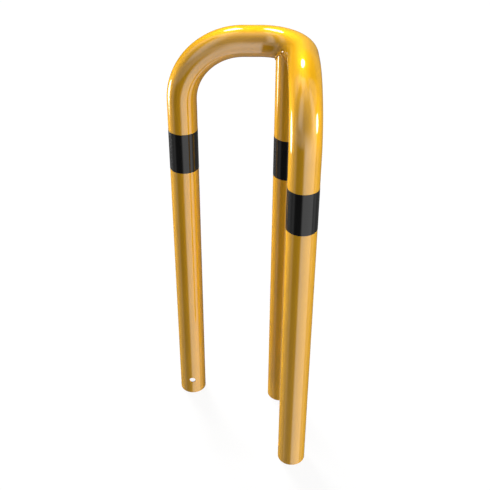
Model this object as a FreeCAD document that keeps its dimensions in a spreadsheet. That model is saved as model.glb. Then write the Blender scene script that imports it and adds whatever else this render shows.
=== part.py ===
"""Corner protection guard: a bent tube on three legs, with a saddle-cut post welded under its corner.

Millimetres, +Z up.  The origin is on the foot plane, in the middle of the square that the guard stands in.
The left leg stands at -X +Y, the right leg at +X -Y, and the corner they protect lies at +X +Y.
"""
import FreeCAD, Part
import os
import Sketcher

doc = FreeCAD.newDocument("CornerGuard")

# Driving dimensions, in millimetres and degrees.
sheet = doc.addObject("Spreadsheet::Sheet", "Sizes")
DIMENSIONS = (
    ("overall_height", 1170.0),      # foot plane to the top of the hoop
    ("leg_spacing", 293.0),          # leg axis to leg axis, along each side
    ("tube_diameter", 76.1),         # outside diameter of the hoop and the post
    ("tube_wall", 3.0),
    ("bend_radius", 155.0),          # leg to top run, on the tube's axis
    ("corner_radius", 98.0),         # bend in plan, on the tube's axis
    ("post_angle", 39.0),            # post's place on the bend in plan, from the right-hand run
    ("post_ear_trim", 12.0),         # post's ear tips below the hoop's axis
    ("weld_leg", 4.0),               # weld bead on the post and on the hoop
    ("anchor_hole_diameter", 18.0),
    ("anchor_hole_height", 52.0),    # foot plane to the hole's axis
    ("band_below_bend", 80.95),      # start of the leg's bend to a band's upper edge
    ("band_width", 112.0),
    ("adhesive_thickness", 0.1),     # between a tube and its band's film
    ("film_thickness", 0.2),
)
for row, (alias, value) in enumerate(DIMENSIONS, start=1):
    sheet.set("A%d" % row, alias)
    sheet.set("B%d" % row, repr(value))
    sheet.setAlias("B%d" % row, alias)
doc.recompute()

# Expressions that several pieces share.
HALF_SPACING = "Sizes.leg_spacing / 2"
OUTER_RADIUS = "Sizes.tube_diameter / 2"
INNER_RADIUS = "(Sizes.tube_diameter / 2 - Sizes.tube_wall)"
HOOP_AXIS_HEIGHT = "(Sizes.overall_height - Sizes.tube_diameter / 2)"
CORNER_CENTRE = "(Sizes.leg_spacing / 2 - Sizes.corner_radius)"
POST_X = CORNER_CENTRE + " + Sizes.corner_radius * cos(Sizes.post_angle)"
POST_Y = CORNER_CENTRE + " + Sizes.corner_radius * sin(Sizes.post_angle)"
BEND_START_HEIGHT = HOOP_AXIS_HEIGHT + " - Sizes.bend_radius"
BAND_FOOT_HEIGHT = BEND_START_HEIGHT + " - Sizes.band_below_bend - Sizes.band_width"
FILM_INSIDE = OUTER_RADIUS + " + Sizes.adhesive_thickness"
ORIGIN = FreeCAD.Vector(0, 0, 0)


def new_body(label):
    """A body whose label names its piece."""
    body = doc.addObject("PartDesign::Body", label)
    body.Label = label
    return body


def new_sketch(body, name, plane, offset=None):
    """A sketch on one of the body's own origin planes, moved along the plane's normal by an expression."""
    sketch = body.newObject("Sketcher::SketchObject", name)
    support = [item for item in body.Origin.OriginFeatures if item.Role == plane][0]
    sketch.AttachmentSupport = [(support, "")]
    sketch.MapMode = "FlatFace"
    if offset:
        sketch.setExpression("AttachmentOffset.Base.z", offset)
    return sketch


def circle(sketch, radius, right=None, left=None, up=None, start=10.0):
    """A circle of the given radius, placed from the sketch's origin to the right or left and up."""
    x = 100.0 if right else (-100.0 if left else 0.0)
    y = 100.0 if up else 0.0
    index = sketch.addGeometry(Part.Circle(FreeCAD.Vector(x, y, 0), FreeCAD.Vector(0, 0, 1), start), False)
    size = sketch.addConstraint(Sketcher.Constraint("Radius", index, start))
    sketch.setExpression("Constraints[%d]" % size, radius)
    if right:
        place = sketch.addConstraint(Sketcher.Constraint("DistanceX", -1, 1, index, 3, abs(x)))
        sketch.setExpression("Constraints[%d]" % place, right)
    elif left:
        place = sketch.addConstraint(Sketcher.Constraint("DistanceX", index, 3, -1, 1, abs(x)))
        sketch.setExpression("Constraints[%d]" % place, left)
    else:
        sketch.addConstraint(Sketcher.Constraint("PointOnObject", index, 3, -2))
    if up:
        place = sketch.addConstraint(Sketcher.Constraint("DistanceY", -1, 1, index, 3, y))
        sketch.setExpression("Constraints[%d]" % place, up)
    else:
        sketch.addConstraint(Sketcher.Constraint("PointOnObject", index, 3, -1))
    return index


def tube_section(sketch, right=None, left=None, up=None):
    """The tube's wall: two circles about one centre, the outer one first."""
    outer = circle(sketch, OUTER_RADIUS, right, left, up, 30.0)
    circle(sketch, INNER_RADIUS, right, left, up, 25.0)
    return outer


def upright_axis(sketch, centre, right=None, left=None):
    """A construction line up the sketch beside a circle's centre, the axis that a bend turns about."""
    line = Part.LineSegment(FreeCAD.Vector(40, 0, 0), FreeCAD.Vector(40, 50, 0))
    index = sketch.addGeometry(line, True)
    sketch.addConstraint(Sketcher.Constraint("Vertical", index))
    sketch.addConstraint(Sketcher.Constraint("PointOnObject", index, 1, -1))
    sketch.addConstraint(Sketcher.Constraint("DistanceY", index, 1, index, 2, 50.0))
    if right:
        place = sketch.addConstraint(Sketcher.Constraint("DistanceX", centre, 3, index, 1, 40.0))
        sketch.setExpression("Constraints[%d]" % place, right)
    else:
        place = sketch.addConstraint(Sketcher.Constraint("DistanceX", index, 1, centre, 3, 40.0))
        sketch.setExpression("Constraints[%d]" % place, left)


def pad(body, name, sketch, length):
    """The sketch drawn out along its normal."""
    feature = body.newObject("PartDesign::Pad", name)
    feature.Profile = sketch
    feature.setExpression("Length", length)
    return feature


def bend(body, name, sketch, angle, backwards):
    """The sketch turned about its own construction line."""
    feature = body.newObject("PartDesign::Revolution", name)
    feature.Profile = sketch
    feature.ReferenceAxis = (sketch, ["Axis0"])
    feature.Angle = angle
    feature.Reversed = backwards
    return feature


def cross_hole(body, name, sketch):
    """A hole through both walls of a tube, drilled from its axis outwards."""
    feature = body.newObject("PartDesign::Pocket", name)
    feature.Profile = sketch
    feature.SideType = "Symmetric"
    feature.setExpression("Length", "2 * Sizes.tube_diameter")
    return feature


# Hoop: the left leg, its bend and its top run lead into the corner bend, and are mirrored across the diagonal.
hoop = new_body("hoop_tube")

leg_section = new_sketch(hoop, "LegSection", "XY_Plane")
tube_section(leg_section, left=HALF_SPACING, up=HALF_SPACING)
leg = pad(hoop, "Leg", leg_section, BEND_START_HEIGHT)

bend_section = new_sketch(hoop, "BendSection", "XY_Plane", BEND_START_HEIGHT)
bend_centre = tube_section(bend_section, left=HALF_SPACING, up=HALF_SPACING)
upright_axis(bend_section, bend_centre, right="Sizes.bend_radius")
leg_bend = bend(hoop, "LegBend", bend_section, 90.0, False)

run_section = new_sketch(hoop, "RunSection", "YZ_Plane", "Sizes.bend_radius - " + HALF_SPACING)
tube_section(run_section, right=HALF_SPACING, up=HOOP_AXIS_HEIGHT)
run_length = "Sizes.leg_spacing - Sizes.bend_radius - Sizes.corner_radius"
top_run = pad(hoop, "TopRun", run_section, run_length)

corner_section = new_sketch(hoop, "CornerSection", "YZ_Plane", CORNER_CENTRE)
corner_middle = tube_section(corner_section, right=HALF_SPACING, up=HOOP_AXIS_HEIGHT)
upright_axis(corner_section, corner_middle, left="Sizes.corner_radius")
corner_bend = bend(hoop, "CornerBend", corner_section, 90.0, True)

hoop_hole_sketch = new_sketch(hoop, "LegHoleSketch", "XZ_Plane", "-" + HALF_SPACING)
circle(hoop_hole_sketch, "Sizes.anchor_hole_diameter / 2", left=HALF_SPACING, up="Sizes.anchor_hole_height")
leg_hole = cross_hole(hoop, "LegHole", hoop_hole_sketch)

diagonal = hoop.newObject("PartDesign::Plane", "Diagonal")
diagonal.AttachmentSupport = [([f for f in hoop.Origin.OriginFeatures if f.Role == "YZ_Plane"][0], "")]
diagonal.MapMode = "FlatFace"
diagonal.AttachmentOffset = FreeCAD.Placement(ORIGIN, FreeCAD.Rotation(FreeCAD.Vector(0, 1, 0), -45))
doc.recompute()
other_side = hoop.newObject("PartDesign::Mirrored", "OtherSide")
other_side.TransformMode = "Features"
other_side.Originals = [top_run, leg_bend, leg, leg_hole]
other_side.MirrorPlane = (diagonal, [""])
hoop.Tip = other_side

# Corner post: drawn with the middle of the corner bend as its origin and the post out along X.
post_tube = new_body("post_tube")
post_tube.Placement = FreeCAD.Placement(ORIGIN, FreeCAD.Rotation(FreeCAD.Vector(0, 0, 1), 1))
post_tube.setExpression("Placement.Base.x", CORNER_CENTRE)
post_tube.setExpression("Placement.Base.y", CORNER_CENTRE)
post_tube.setExpression("Placement.Rotation.Angle", "Sizes.post_angle")

post_section = new_sketch(post_tube, "PostSection", "XY_Plane")
tube_section(post_section, right="Sizes.corner_radius")
upright = pad(post_tube, "Upright", post_section, HOOP_AXIS_HEIGHT + " - Sizes.post_ear_trim")

post_hole_sketch = new_sketch(post_tube, "PostHoleSketch", "XZ_Plane")
circle(post_hole_sketch, "Sizes.anchor_hole_diameter / 2", right="Sizes.corner_radius", up="Sizes.anchor_hole_height")
post_hole = cross_hole(post_tube, "PostHole", post_hole_sketch)

# Weld bead: what lies within one weld leg of the post's outside and of the hoop's, up to just over the post's ears.
bead_on_post = doc.addObject("Part::Cylinder", "BeadOnPost")
bead_on_post.setExpression("Radius", OUTER_RADIUS + " + Sizes.weld_leg")
bead_on_post.setExpression("Height", "Sizes.tube_diameter - Sizes.post_ear_trim + Sizes.weld_leg")
post_core = doc.addObject("Part::Cylinder", "PostCore")
post_core.setExpression("Radius", OUTER_RADIUS)
post_core.setExpression("Height", "Sizes.tube_diameter - Sizes.post_ear_trim")
for cylinder in (bead_on_post, post_core):
    cylinder.setExpression("Placement.Base.x", POST_X)
    cylinder.setExpression("Placement.Base.y", POST_Y)
    cylinder.setExpression("Placement.Base.z", HOOP_AXIS_HEIGHT + " - Sizes.tube_diameter")
bead_on_hoop = doc.addObject("Part::Torus", "BeadOnHoop")
bead_on_hoop.setExpression("Radius2", OUTER_RADIUS + " + Sizes.weld_leg")
hoop_outside = doc.addObject("Part::Torus", "HoopOutside")
hoop_outside.setExpression("Radius2", OUTER_RADIUS)
for torus in (bead_on_hoop, hoop_outside):
    torus.setExpression("Radius1", "Sizes.corner_radius")
    torus.setExpression("Placement.Base.x", CORNER_CENTRE)
    torus.setExpression("Placement.Base.y", CORNER_CENTRE)
    torus.setExpression("Placement.Base.z", HOOP_AXIS_HEIGHT)
bead_block = doc.addObject("Part::Common", "BeadBlock")
bead_block.Base = bead_on_post
bead_block.Tool = bead_on_hoop
bead_ring = doc.addObject("Part::Cut", "BeadRing")
bead_ring.Base = bead_block
bead_ring.Tool = post_core
welded_post = doc.addObject("Part::Fuse", "WeldedPost")
welded_post.Base = post_tube
welded_post.Tool = bead_ring

# The saddle: the hoop's own outside at the corner bend, cut out of the post and the bead together.
corner_post = doc.addObject("Part::Cut", "corner_post")
corner_post.Label = "corner_post"
corner_post.Base = welded_post
corner_post.Tool = hoop_outside


def new_band(label, x, y):
    """A film band round one leg, stuck on the tube's outside."""
    band = new_body(label)
    band.setExpression("Placement.Base.x", x)
    band.setExpression("Placement.Base.y", y)
    section = new_sketch(band, label + "_section", "XY_Plane", BAND_FOOT_HEIGHT)
    circle(section, FILM_INSIDE + " + Sizes.film_thickness", start=30.0)
    circle(section, FILM_INSIDE, start=25.0)
    pad(band, label + "_film", section, "Sizes.band_width")
    return band


bands = (
    new_band("band_left", "-" + HALF_SPACING, HALF_SPACING),
    new_band("band_corner", POST_X, POST_Y),
    new_band("band_right", HALF_SPACING, "-" + HALF_SPACING),
)
doc.recompute()

pieces = (hoop, corner_post) + bands
for item in doc.Objects:
    if "Invalid" in item.State or "Error" in item.State:
        raise RuntimeError("%s did not rebuild: %s" % (item.Name, item.State))
for piece in pieces:
    if piece.Shape.isNull() or not piece.Shape.isValid() or len(piece.Shape.Solids) != 1:
        raise RuntimeError("%s is not one sound solid" % piece.Label)

# The cuts, the weld and the mirror have to show in the volumes.
if not leg_hole.Shape.Volume < corner_bend.Shape.Volume:
    raise RuntimeError("the leg's anchor hole cuts nothing")
side_volume = leg_hole.Shape.Volume - (corner_bend.Shape.Volume - top_run.Shape.Volume)
if abs(hoop.Shape.Volume - leg_hole.Shape.Volume - side_volume) > 1e-4 * side_volume:
    raise RuntimeError("the hoop's sides are not alike")
if not post_hole.Shape.Volume < upright.Shape.Volume:
    raise RuntimeError("the post's anchor hole cuts nothing")
if not post_tube.Shape.Volume < welded_post.Shape.Volume:
    raise RuntimeError("the weld bead adds nothing to the post")
if not corner_post.Shape.Volume < welded_post.Shape.Volume:
    raise RuntimeError("the post has no saddle")

os.makedirs("parts", exist_ok=True)
for piece in pieces:
    piece.Shape.exportStep("parts/%s.step" % piece.Label)
    box = piece.Shape.BoundBox
    print("%-12s %12.1f mm3   x %.2f %.2f   y %.2f %.2f   z %.2f %.2f" % (
        piece.Label, piece.Shape.Volume, box.XMin, box.XMax, box.YMin, box.YMax, box.ZMin, box.ZMax))
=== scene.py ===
"""Looks of a corner protection guard: gloss yellow tubes, black film bands and a painted weld,
in a studio of soft panels and round lamps."""
import math

import bmesh
import bpy
from mathutils import Matrix, Vector


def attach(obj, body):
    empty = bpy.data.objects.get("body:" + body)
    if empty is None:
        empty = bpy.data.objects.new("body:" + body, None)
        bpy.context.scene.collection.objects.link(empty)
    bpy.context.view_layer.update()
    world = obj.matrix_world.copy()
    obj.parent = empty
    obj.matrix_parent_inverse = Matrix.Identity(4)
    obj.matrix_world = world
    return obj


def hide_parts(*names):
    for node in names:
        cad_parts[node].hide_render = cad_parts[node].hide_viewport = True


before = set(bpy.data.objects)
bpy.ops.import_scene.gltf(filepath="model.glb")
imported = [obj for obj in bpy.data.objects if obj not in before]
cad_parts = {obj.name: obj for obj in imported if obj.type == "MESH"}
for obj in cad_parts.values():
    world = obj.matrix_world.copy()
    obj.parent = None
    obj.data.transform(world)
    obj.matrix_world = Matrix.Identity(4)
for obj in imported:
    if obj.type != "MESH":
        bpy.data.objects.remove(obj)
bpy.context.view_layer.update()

# Sizes in millimetres. They keep the visual model just inside the solids' box.
MM = 0.001
TUBE_R = 38.0
WALL = 3.0
EDGE = 0.45  # broken edges at the feet
HALF = 146.5  # from the middle of the plan to the legs' axes
TOP_AXIS = 1131.95
BEND_R = 155.0
BEND_START = TOP_AXIS - BEND_R
CORNER_R = 98.0  # the bend in plan
CORNER_C = HALF - CORNER_R
HOLE_R = 9.0
HOLE_Z = 52.0

# The post stands under the bend in plan. Its top reaches a little into the hoop's outside.
POST_ANGLE = math.radians(39.0)
POST_X = CORNER_C + CORNER_R * math.cos(POST_ANGLE)
POST_Y = CORNER_C + CORNER_R * math.sin(POST_ANGLE)
POST_OUT = Vector((math.cos(POST_ANGLE), math.sin(POST_ANGLE), 0))
POST_SIDE = Vector((-math.sin(POST_ANGLE), math.cos(POST_ANGLE), 0))
LIP_LEAST_DROP = 12.0
LIP_OVERLAP = 0.6

WELD_R = 2.7
WELD_CLEAR = 1.4  # from the hoop's outside to the middle of the bead
WELD_RIPPLE = 3.4
WELD_RIPPLE_HEIGHT = 0.22
WELD_LAG = 0.35  # how far a ripple curves, as a share of its length
WELD_SWELL_HEIGHT = 0.12
WELD_SWELLS = 5

BAND_LOW = 784.0
BAND_HIGH = 896.0
FILM_IN = 38.1
FILM_OUT = 38.33
FILM_EDGE_DROP = 0.08
FILM_EDGE = 0.1
FILM_MARGIN = 0.5
LAP_ANGLE = math.radians(45.0)
LAP_LENGTH = 14.0
LAP_RISE = 0.2

# How finely the shapes are divided.
AROUND = 96
BEND_STEPS = 40
CORNER_STEPS = 36
HOOP_LEG_RINGS = 9
POST_RINGS = 11
LEG_FIRST = 150.0
LEG_STEP = 92.0
HOLE_ROWS = 12
HOLE_ROW = 2.5
HOLE_COLUMNS = (AROUND // 4, 3 * AROUND // 4)
PATCH = 6  # columns on each side of a hole's middle
PATCH_STEPS = (0.35, 0.65, 0.85, 0.95, 1.0)
BELOW_HOLE = [4.0, 20.0]
HOLE_LEVELS = [HOLE_Z + HOLE_ROW * (i - HOLE_ROWS / 2) for i in range(HOLE_ROWS + 1)]
ABOVE_HOLE = [90.0]
HOLE_FIRST = len(BELOW_HOLE)
WELD_STEPS = 720
WELD_SIDES = 14
BAND_STEPS = 8
BAND_SIDES = 144

X = Vector((1, 0, 0))
Y = Vector((0, 1, 0))
Z = Vector((0, 0, 1))


# Meshes.

class Builder:
    """Vertices in millimetres and faces, gathered for one piece."""

    def __init__(self):
        self.verts = []
        self.faces = []

    def loop(self, points):
        first = len(self.verts)
        self.verts.extend(points)
        return list(range(first, first + len(points)))

    def strip(self, a, b, skip=()):
        """Quads between two loops of equal length, apart from the places to skip."""
        for i in range(len(a)):
            if i not in skip:
                j = (i + 1) % len(a)
                self.faces.append((a[i], a[j], b[j], b[i]))

    def chain(self, loops):
        """Strips from each loop to the next."""
        for a, b in zip(loops, loops[1:]):
            self.strip(a, b)

    def piece(self, name, sharp=35.0):
        """The mesh object, its faces turned outward and its edges sharp from an angle on."""
        mesh = bpy.data.meshes.new(name)
        mesh.from_pydata([tuple(v * MM) for v in self.verts], [], self.faces)
        mesh.validate()
        work = bmesh.new()
        work.from_mesh(mesh)
        bmesh.ops.recalc_face_normals(work, faces=work.faces)
        work.to_mesh(mesh)
        work.free()
        mesh.polygons.foreach_set("use_smooth", [True] * len(mesh.polygons))
        mesh.set_sharp_from_angle(angle=math.radians(sharp))
        obj = bpy.data.objects.new(name, mesh)
        bpy.context.scene.collection.objects.link(obj)
        return obj


def ring(station, radius):
    """A circle of points about one station of a tube's axis."""
    centre, e1, e2 = station
    step = 2 * math.pi / AROUND
    return [centre + radius * (math.cos(i * step) * e1 + math.sin(i * step) * e2)
            for i in range(AROUND)]


def leg_levels(rings):
    """Heights of a leg's stations, close together at its cross hole."""
    return (BELOW_HOLE + HOLE_LEVELS + ABOVE_HOLE
            + [LEG_FIRST + LEG_STEP * i for i in range(rings)])


def leg_stations(x, y, e1, e2, levels):
    return [(Vector((x, y, z)), e1, e2) for z in levels]


def hole_patch(b, stations, rings, radius, first, mid):
    """Quads from a square of the grid in to a hole's round rim, all on the tube's surface.
    Gives the rim."""
    columns = [(mid - PATCH + j) % AROUND for j in range(2 * PATCH + 1)]
    rows = rings[first:first + HOLE_ROWS + 1]
    square = [rows[0][c] for c in columns]
    square += [row[columns[-1]] for row in rows[1:]]
    square += [rows[-1][c] for c in columns[-2::-1]]
    square += [row[columns[0]] for row in rows[-2:0:-1]]
    centre, e1, e2 = stations[first + HOLE_ROWS // 2]
    along = (stations[first + HOLE_ROWS][0] - stations[first][0]).normalized()
    side = 1 if mid == HOLE_COLUMNS[0] else -1
    out = side * e2
    across = -side * e1
    flat = []
    for v in square:
        off = b.verts[v] - centre
        share = max(-1, min(1, off.dot(across) / radius))
        flat.append((math.asin(share) * radius, off.dot(along)))
    loops = [square]
    for step in PATCH_STEPS:
        points = []
        for u, w in flat:
            angle = math.atan2(w, u)
            rim_u = math.asin(HOLE_R * math.cos(angle) / radius) * radius
            rim_w = HOLE_R * math.sin(angle)
            turn = (u + (rim_u - u) * step) / radius
            rise = w + (rim_w - w) * step
            points.append(centre + radius * (math.cos(turn) * out + math.sin(turn) * across)
                          + rise * along)
        loops.append(b.loop(points))
    b.chain(loops)
    return loops[-1]


def tube_skin(b, stations, radius, holes):
    """A tube's surface through its stations, with its cross holes. Each entry of holes is the
    first of the rings that a pair of holes lies in. Gives the rings and the holes' rims."""
    rings = [b.loop(ring(station, radius)) for station in stations]
    window = {(mid - PATCH + j) % AROUND for mid in HOLE_COLUMNS for j in range(2 * PATCH)}
    for i, (low, high) in enumerate(zip(rings, rings[1:])):
        at_hole = any(first <= i < first + HOLE_ROWS for first in holes)
        b.strip(low, high, window if at_hole else ())
    rims = [hole_patch(b, stations, rings, radius, first, mid)
            for first in holes for mid in HOLE_COLUMNS]
    return rings, rims


def pipe(b, stations, holes):
    """A tube's outer and inner skin and the walls of its cross holes. Gives both skins' rings."""
    outer, outer_rims = tube_skin(b, stations, TUBE_R, holes)
    inner, inner_rims = tube_skin(b, stations, TUBE_R - WALL, holes)
    for rims in zip(outer_rims, inner_rims):
        b.strip(*rims)
    return outer, inner


def foot_end(b, outer, inner, x, y, e1, e2):
    """A leg's square-cut foot with its two edges broken, from the outer skin to the inner."""
    low, high = leg_stations(x, y, e1, e2, (0.0, EDGE))
    b.chain([outer,
             b.loop(ring(high, TUBE_R)),
             b.loop(ring(low, TUBE_R - EDGE)),
             b.loop(ring(low, TUBE_R - WALL + EDGE)),
             b.loop(ring(high, TUBE_R - WALL)),
             inner])


def quarter(centre, radius, start, end, steps):
    """Points along a quarter circle, each with its direction from the centre."""
    points = []
    for i in range(steps + 1):
        t = math.pi / 2 * i / steps
        out = math.cos(t) * start + math.sin(t) * end
        points.append((centre + radius * out, out))
    return points


def hoop_stations():
    """Stations along the hoop's axis, from the left foot over the corner to the right foot."""
    rise = leg_levels(HOOP_LEG_RINGS)
    left = Vector((BEND_R - HALF, HALF, BEND_START))
    corner = Vector((CORNER_C, CORNER_C, TOP_AXIS))
    right = Vector((HALF, BEND_R - HALF, BEND_START))
    stations = leg_stations(-HALF, HALF, -X, Y, rise)
    stations += [(at, out, Y) for at, out in quarter(left, BEND_R, -X, Z, BEND_STEPS)]
    stations += [(at, Z, out) for at, out in quarter(corner, CORNER_R, Y, X, CORNER_STEPS)]
    stations += [(at, out, X) for at, out in quarter(right, BEND_R, Z, -Y, BEND_STEPS)]
    stations += leg_stations(HALF, -HALF, -Y, X, rise[::-1])
    return stations


def make_hoop():
    b = Builder()
    stations = hoop_stations()
    holes = (HOLE_FIRST, len(stations) - 1 - HOLE_FIRST - HOLE_ROWS)
    outer, inner = pipe(b, stations, holes)
    foot_end(b, outer[0], inner[0], -HALF, HALF, -X, Y)
    foot_end(b, outer[-1], inner[-1], HALF, -HALF, -Y, X)
    return b.piece("hoop_tube_skin")


def saddle_drop(angle, slack=0.0):
    """How far under the hoop's axis its outside meets the post's, at an angle about the post from
    the radius of the bend in plan."""
    u = TUBE_R * math.cos(angle)
    w = TUBE_R * math.sin(angle)
    reach = math.hypot(CORNER_R + u, w) - CORNER_R
    return math.sqrt(max(0.0, (TUBE_R + slack) ** 2 - reach ** 2))


def make_post():
    b = Builder()
    levels = leg_levels(POST_RINGS)
    stations = leg_stations(POST_X, POST_Y, POST_OUT, POST_SIDE, levels)
    outer, inner = pipe(b, stations, (HOLE_FIRST,))
    foot_end(b, outer[0], inner[0], POST_X, POST_Y, POST_OUT, POST_SIDE)
    ground = (Vector((POST_X, POST_Y, 0)), POST_OUT, POST_SIDE)
    lips = []
    for radius, skin in ((TUBE_R, outer), (TUBE_R - WALL, inner)):
        points = []
        for i, p in enumerate(ring(ground, radius)):
            drop = max(LIP_LEAST_DROP, saddle_drop(2 * math.pi * i / AROUND))
            points.append(p + Z * (TOP_AXIS - drop + LIP_OVERLAP))
        lips.append(b.loop(points))
        b.strip(skin[-1], lips[-1])
    b.strip(*lips)
    return b.piece("corner_post_skin")


def weld_point(i):
    """A point of the saddle joint and its direction from the post's axis."""
    angle = 2 * math.pi * i / WELD_STEPS
    out = math.cos(angle) * POST_OUT + math.sin(angle) * POST_SIDE
    axis = Vector((POST_X, POST_Y, TOP_AXIS - saddle_drop(angle, WELD_CLEAR)))
    return axis + TUBE_R * out, out


def make_weld():
    """A bead round the saddle joint, laid in overlapping ripples."""
    b = Builder()
    total = sum((weld_point(i + 1)[0] - weld_point(i)[0]).length for i in range(WELD_STEPS))
    ripples = round(total / WELD_RIPPLE)
    loops = []
    travel = 0.0
    last = weld_point(0)[0]
    for i in range(WELD_STEPS):
        at, out = weld_point(i)
        travel += (at - last).length
        last = at
        way = (weld_point(i + 1)[0] - weld_point(i - 1)[0]).normalized()
        up = way.cross(out).normalized()
        swell = WELD_SWELL_HEIGHT * math.sin(2 * math.pi * travel / total * WELD_SWELLS)
        points = []
        for j in range(WELD_SIDES):
            turn = 2 * math.pi * j / WELD_SIDES
            wave = (travel / total * ripples + WELD_LAG * math.cos(turn)) % 1.0
            radius = WELD_R + WELD_RIPPLE_HEIGHT * math.sin(math.pi * wave) + swell
            points.append(at + radius * (math.cos(turn) * out + math.sin(turn) * up))
        loops.append(b.loop(points))
    b.chain(loops + loops[:1])
    return b.piece("corner_weld_bead", sharp=80.0)


def make_band(name, x, y):
    """A film band with softened edges, lapped on itself at the back right."""
    b = Builder()
    height = BAND_HIGH - BAND_LOW
    levels = [(BAND_LOW, FILM_IN), (BAND_LOW, FILM_OUT - FILM_EDGE_DROP),
              (BAND_LOW + FILM_EDGE, FILM_OUT), (BAND_LOW + FILM_MARGIN, FILM_OUT)]
    levels += [(BAND_LOW + height * i / BAND_STEPS, FILM_OUT) for i in range(1, BAND_STEPS)]
    levels += [(BAND_HIGH - FILM_MARGIN, FILM_OUT), (BAND_HIGH - FILM_EDGE, FILM_OUT),
               (BAND_HIGH, FILM_OUT - FILM_EDGE_DROP), (BAND_HIGH, FILM_IN)]
    loops = []
    for z, radius in levels:
        points = []
        for i in range(BAND_SIDES):
            angle = 2 * math.pi * i / BAND_SIDES
            off = (angle - LAP_ANGLE + math.pi) % (2 * math.pi) - math.pi
            lapped = 0 <= off * TUBE_R < LAP_LENGTH and radius > FILM_IN
            r = radius + (LAP_RISE if lapped else 0.0)
            points.append(Vector((x + r * math.cos(angle), y + r * math.sin(angle), z)))
        loops.append(b.loop(points))
    b.chain(loops + loops[:1])
    return b.piece(name, sharp=50.0)


# Materials.

NOISE_SPAN = (0.3, 0.7)  # where most of a noise's values lie
HAZE_DETAIL = 3.0
RIPPLE_DETAIL = 2.0
RIPPLE_ROUGHNESS = 0.4
RIPPLE_STRENGTH = 0.02
RIPPLE_DISTANCE = 0.0002


def set_inputs(node, values):
    for name, value in values.items():
        node.inputs[name].default_value = value


def empty_tree(owner):
    """The node tree of a material or world, with its nodes taken out."""
    owner.use_nodes = True
    owner.node_tree.nodes.clear()
    return owner.node_tree


def map_range(tree, source, low, high, to_low=0.0, to_high=1.0, interpolation="LINEAR"):
    made = tree.nodes.new("ShaderNodeMapRange")
    made.interpolation_type = interpolation
    set_inputs(made, {"From Min": low, "From Max": high, "To Min": to_low, "To Max": to_high})
    tree.links.new(source, made.inputs["Value"])
    return made.outputs["Result"]


def noise(tree, scale, detail, rough=0.5):
    made = tree.nodes.new("ShaderNodeTexNoise")
    set_inputs(made, {"Scale": scale, "Detail": detail, "Roughness": rough})
    coords = tree.nodes.new("ShaderNodeTexCoord")
    tree.links.new(coords.outputs["Object"], made.inputs["Vector"])
    return made.outputs["Fac"]


def coated(name, clouds, colours, haze, roughness, ripple, inputs):
    """A surface under a smooth coat: its colour drifts between two stops, its roughness varies
    finely, and it and the coat ripple slightly. clouds is a scale and detail, haze and ripple are
    scales."""
    mat = bpy.data.materials.new(name)
    tree = empty_tree(mat)
    out = tree.nodes.new("ShaderNodeOutputMaterial")
    bsdf = tree.nodes.new("ShaderNodeBsdfPrincipled")
    tree.links.new(bsdf.outputs["BSDF"], out.inputs["Surface"])
    ramp = tree.nodes.new("ShaderNodeValToRGB")
    for stop, (position, colour) in zip(ramp.color_ramp.elements, colours):
        stop.position = position
        stop.color = (*colour, 1)
    tree.links.new(noise(tree, *clouds), ramp.inputs["Fac"])
    tree.links.new(ramp.outputs["Color"], bsdf.inputs["Base Color"])
    gloss = map_range(tree, noise(tree, haze, HAZE_DETAIL), *NOISE_SPAN, *roughness)
    tree.links.new(gloss, bsdf.inputs["Roughness"])
    bump = tree.nodes.new("ShaderNodeBump")
    set_inputs(bump, {"Strength": RIPPLE_STRENGTH, "Distance": RIPPLE_DISTANCE})
    wave = noise(tree, ripple, RIPPLE_DETAIL, RIPPLE_ROUGHNESS)
    tree.links.new(wave, bump.inputs["Height"])
    tree.links.new(bump.outputs["Normal"], bsdf.inputs["Normal"])
    tree.links.new(bump.outputs["Normal"], bsdf.inputs["Coat Normal"])
    set_inputs(bsdf, {"Coat Weight": 1.0, "Coat Roughness": 0.0})
    set_inputs(bsdf, inputs)
    return mat


coat = coated(
    "yellow_powder_coat",
    clouds=(9.0, 2.0),
    colours=((0.35, (0.872, 0.457, 0.0055)), (0.65, (0.897, 0.477, 0.0065))),
    haze=60.0,
    roughness=(0.62, 0.67),
    ripple=260.0,
    inputs={"Metallic": 0.55, "Specular IOR Level": 0.0, "Coat IOR": 2.42})
film = coated(
    "black_gloss_film",
    clouds=(25.0, 3.0),
    colours=((0.3, (0.0046, 0.0046, 0.0045)), (0.7, (0.0064, 0.0064, 0.0062))),
    haze=90.0,
    roughness=(0.30, 0.36),
    ripple=140.0,
    inputs={"Specular IOR Level": 0.05, "Coat IOR": 1.65})


# The dressed pieces.

def dress(obj, mat, slot, *nodes):
    obj.data.materials.append(mat)
    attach(obj, "root")
    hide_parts(*nodes)


dress(make_hoop(), coat, "yellow_coat", "hoop_tube")
dress(make_post(), coat, "yellow_coat", "corner_post")
dress(make_weld(), coat, "yellow_coat", "corner_post")
dress(make_band("band_left_film", -HALF, HALF), film, "black_film", "band_left")
dress(make_band("band_corner_film", POST_X, POST_Y), film, "black_film", "band_corner")
dress(make_band("band_right_film", HALF, -HALF), film, "black_film", "band_right")


# Floor and backdrop: white paper that only the camera sees. The floor keeps a faint shadow.
# Lengths in metres.

FLOOR_REACH = 9.0
FLOOR_LEVEL = -0.0004
FLOOR_GLOW = 0.93
BACKDROP_GLOW = 1.0
BACKDROP_SIDES = 24
BACKDROP_RINGS = ((13.0, -3.0), (13.0, 6.0), (8.0, 10.0), (2.0, 11.0))  # radius, height
PAPER = (0.9, 0.9, 0.9, 1)
WHITE = (1, 1, 1, 1)


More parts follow.
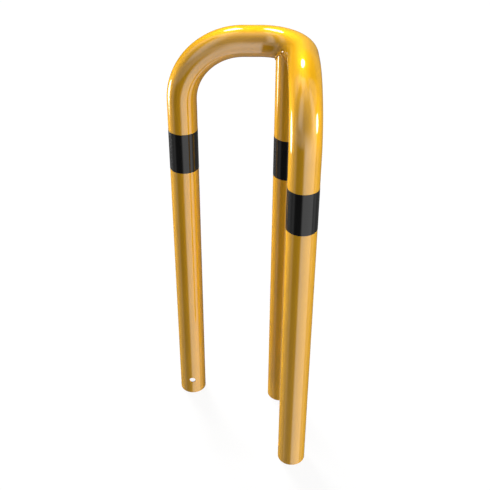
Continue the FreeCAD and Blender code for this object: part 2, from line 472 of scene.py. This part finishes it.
def paper(name, glow_share):
    mat = bpy.data.materials.new(name)
    tree = empty_tree(mat)
    out = tree.nodes.new("ShaderNodeOutputMaterial")
    mix = tree.nodes.new("ShaderNodeMixShader")
    matt = tree.nodes.new("ShaderNodeBsdfDiffuse")
    glow = tree.nodes.new("ShaderNodeEmission")
    set_inputs(mix, {"Fac": glow_share})
    set_inputs(matt, {"Color": PAPER})
    set_inputs(glow, {"Color": WHITE, "Strength": 1.0})
    tree.links.new(matt.outputs["BSDF"], mix.inputs[1])
    tree.links.new(glow.outputs["Emission"], mix.inputs[2])
    tree.links.new(mix.outputs["Shader"], out.inputs["Surface"])
    return mat


def stage_piece(name, verts, faces, mat):
    mesh = bpy.data.meshes.new(name)
    mesh.from_pydata(verts, [], faces)
    mesh.materials.append(mat)
    obj = bpy.data.objects.new(name, mesh)
    bpy.context.scene.collection.objects.link(obj)
    obj.visible_diffuse = False
    obj.visible_glossy = False
    obj.visible_shadow = False


def make_floor():
    ends = ((-1, -1), (1, -1), (1, 1), (-1, 1))
    verts = [(x * FLOOR_REACH, y * FLOOR_REACH, FLOOR_LEVEL) for x, y in ends]
    stage_piece("studio_floor", verts, [(0, 1, 2, 3)], paper("studio_floor", FLOOR_GLOW))


def make_backdrop():
    """A closed drum with a domed top."""
    n = BACKDROP_SIDES
    verts = []
    for radius, height in BACKDROP_RINGS:
        for i in range(n):
            a = 2 * math.pi * i / n
            verts.append((radius * math.cos(a), radius * math.sin(a), height))
    faces = []
    for row in range(0, len(verts) - n, n):
        for i in range(n):
            j = (i + 1) % n
            faces.append((row + i, row + j, row + n + j, row + n + i))
    faces.append(tuple(range(len(verts) - n, len(verts))))
    faces.append(tuple(range(n - 1, -1, -1)))
    stage_piece("studio_backdrop", verts, faces, paper("studio_backdrop", BACKDROP_GLOW))


make_floor()
make_backdrop()


# Light: a studio round the object, soft panels between darker gaps, and round lamps. Angles are in
# degrees: azimuth from the front towards the right, and elevation.

BASE_LIGHT = 0.121

# Each panel: name, its left and right azimuth, each with the width of that soft edge, its low and
# high elevation, each with that width, and what it adds to the base light.
PANELS = (
    ("front_right_low", -6, 15, 72, 14, -75, 20, 6, 34, 0.765),
    ("front_low", -12, 10, 38, 14, -28, 10, -4, 12, 0.157),
    ("front_right_high", 40, 26, 67, 12, 6, 26, 68, 20, 0.714),
    ("front_sill", -84, 14, -2, 12, -8, 8, 14, 12, 0.190),
    ("front_left_gap", -60, 14, -13, 12, -42, 20, -8, 8, -0.083),
    ("front_left_low", -76, 12, -44, 16, -90, 10, -44, 8, 0.046),
    ("left_slot", -82, 14, -64, 10, -70, 20, -2, 20, 0.137),
    ("left_low", -114, 12, -90, 12, -60, 20, -6, 10, 0.082),
    ("front_left_high", -63, 20, -31, 26, 14, 14, 59, 16, 0.677),
    ("front_high", -34, 20, 34, 20, -2, 10, 60, 20, 0.121),
    ("left_high", -116, 14, -90, 12, 24, 22, 62, 14, 0.373),
    ("top", -44, 20, 34, 20, 60, 14, 86, 14, 0.354),
    ("top_left", -108, 16, -44, 20, 62, 12, 86, 16, 0.623),
    ("right_high", 68, 10, 102, 14, 26, 12, 76, 12, 0.244),
    ("right_low", 78, 8, 100, 12, -70, 20, -18, 14, 0.220),
    ("back_right_gap", 106, 10, 190, 10, 30, 14, 76, 14, -0.085),
    ("back_right_low", 122, 12, 186, 10, -14, 10, 24, 12, 0.055),
    ("back_left_high_gap", -186, 10, -130, 10, 14, 12, 50, 8, -0.04),
    ("back_left_middle_gap", -186, 10, -130, 10, -22, 8, 14, 12, -0.10),
    ("back_left_low_gap", -186, 10, -130, 10, -44, 10, -22, 8, -0.055),
    ("floor_below", -400, 10, 400, 10, -120, 10, -60, 16, 0.18),
)

# The round lamps as the gloss mirrors them: azimuth, elevation, radius and glow.
DISCS = (
    (-161, 58.5, 8.8, 6.5),
    (-115, -16, 9.6, 6.0),
    (78.5, 6.7, 9.0, 6.0),
)
DISC_SOFT = 0.7

# The light that they and the walls beside them shed: name, azimuth, elevation, radius, strength.
LAMPS = (
    ("key_back_left", -157, 58, 8.8, 4.0),
    ("side_left", -118, -13, 9.6, 2.05),
    ("side_right", 79.5, 8, 7.5, 1.93),
)
LAMP_AIM = Vector((0, 0, 0.9))
LAMP_DISTANCE = 3.0

TO_DEGREES = 180 / math.pi


def math_node(tree, operation, a, b=None):
    made = tree.nodes.new("ShaderNodeMath")
    made.operation = operation
    for index, value in enumerate((a, b)):
        if isinstance(value, (int, float)):
            made.inputs[index].default_value = value
        elif value is not None:
            tree.links.new(value, made.inputs[index])
    return made.outputs["Value"]


def soft_edge(tree, source, edge, soft):
    """Rises from 0 to 1 across an edge, or falls where the width is negative."""
    return map_range(tree, source, edge - soft / 2, edge + soft / 2, interpolation="SMOOTHSTEP")


def towards(azimuth, elevation):
    """The direction at an azimuth and an elevation."""
    a = math.radians(azimuth)
    e = math.radians(elevation)
    return Vector((math.sin(a) * math.cos(e), -math.cos(a) * math.cos(e), math.sin(e)))


def studio():
    """The world: base light, panels and discs, all white, and never below zero."""
    world = bpy.data.worlds.new("studio")
    bpy.context.scene.world = world
    tree = empty_tree(world)
    out = tree.nodes.new("ShaderNodeOutputWorld")
    room = tree.nodes.new("ShaderNodeBackground")
    coords = tree.nodes.new("ShaderNodeTexCoord")
    split = tree.nodes.new("ShaderNodeSeparateXYZ")
    tree.links.new(coords.outputs["Generated"], split.inputs["Vector"])
    front = math_node(tree, "MULTIPLY", split.outputs["Y"], -1.0)
    around = math_node(tree, "ARCTAN2", split.outputs["X"], front)
    around = math_node(tree, "MULTIPLY", around, TO_DEGREES)
    rise = math_node(tree, "ARCSINE", split.outputs["Z"])
    rise = math_node(tree, "MULTIPLY", rise, TO_DEGREES)
    parts = []
    for name, left, left_soft, right, right_soft, low, low_soft, high, high_soft, gain in PANELS:
        panel = soft_edge(tree, around, left, left_soft)
        for source, edge, soft in ((around, right, -right_soft), (rise, low, low_soft),
                                   (rise, high, -high_soft)):
            panel = math_node(tree, "MULTIPLY", panel, soft_edge(tree, source, edge, soft))
        panel = math_node(tree, "MULTIPLY", panel, gain)
        panel.node.label = name
        parts.append(panel)
    for azimuth, elevation, radius, glow in DISCS:
        near = tree.nodes.new("ShaderNodeVectorMath")
        near.operation = "DOT_PRODUCT"
        tree.links.new(coords.outputs["Generated"], near.inputs[0])
        near.inputs[1].default_value = towards(azimuth, elevation)
        off = math_node(tree, "ARCCOSINE", near.outputs["Value"])
        off = math_node(tree, "MULTIPLY", off, TO_DEGREES)
        disc = soft_edge(tree, off, radius, -2 * DISC_SOFT)
        parts.append(math_node(tree, "MULTIPLY", disc, glow))
    level = parts[0]
    for part in parts[1:] + [BASE_LIGHT]:
        level = math_node(tree, "ADD", level, part)
    level = math_node(tree, "MAXIMUM", level, 0.0)
    set_inputs(room, {"Color": WHITE})
    tree.links.new(level, room.inputs["Strength"])
    tree.links.new(room.outputs["Background"], out.inputs["Surface"])


def lamp(name, azimuth, elevation, radius, strength):
    """The light that a round lamp sheds from far off. The gloss shows its disc in the world, and
    so that it doesn't show the lamp too, multiple importance sampling is off."""
    data = bpy.data.lights.new(name, "SUN")
    data.angle = math.radians(2 * radius)
    data.energy = strength
    data.cycles.use_multiple_importance_sampling = False
    way = towards(azimuth, elevation)
    obj = bpy.data.objects.new(name, data)
    obj.location = LAMP_AIM + way * LAMP_DISTANCE
    obj.rotation_euler = way.to_track_quat("Z", "Y").to_euler()
    bpy.context.scene.collection.objects.link(obj)


studio()
for each in LAMPS:
    lamp(*each)


# Camera, fitted to the photograph's outline. Place in metres, turns in radians.

CAMERA_AT = (0.00009, -1.87326, 1.92098)
YAW = 0.00698
PITCH = 0.60239
ROLL = 0.0035
FOCAL_PIXELS = 871.68255
PICTURE_PIXELS = 490
SENSOR = 36.0
CLIP_END = 100.0


def camera():
    ahead = Vector((math.sin(YAW) * math.cos(PITCH), math.cos(YAW) * math.cos(PITCH),
                    -math.sin(PITCH)))
    level = Vector((math.cos(YAW), -math.sin(YAW), 0))
    upright = level.cross(ahead)
    right = math.cos(ROLL) * level + math.sin(ROLL) * upright
    up = -math.sin(ROLL) * level + math.cos(ROLL) * upright
    data = bpy.data.cameras.new("camera")
    data.sensor_width = SENSOR
    data.sensor_fit = "HORIZONTAL"
    data.lens = FOCAL_PIXELS * SENSOR / PICTURE_PIXELS
    data.clip_end = CLIP_END
    obj = bpy.data.objects.new("camera", data)
    turn = Matrix((right, up, -ahead)).transposed().to_4x4()
    obj.matrix_world = Matrix.Translation(CAMERA_AT) @ turn
    bpy.context.scene.collection.objects.link(obj)
    bpy.context.scene.camera = obj


camera()
bpy.context.scene.view_settings.view_transform = "Standard"
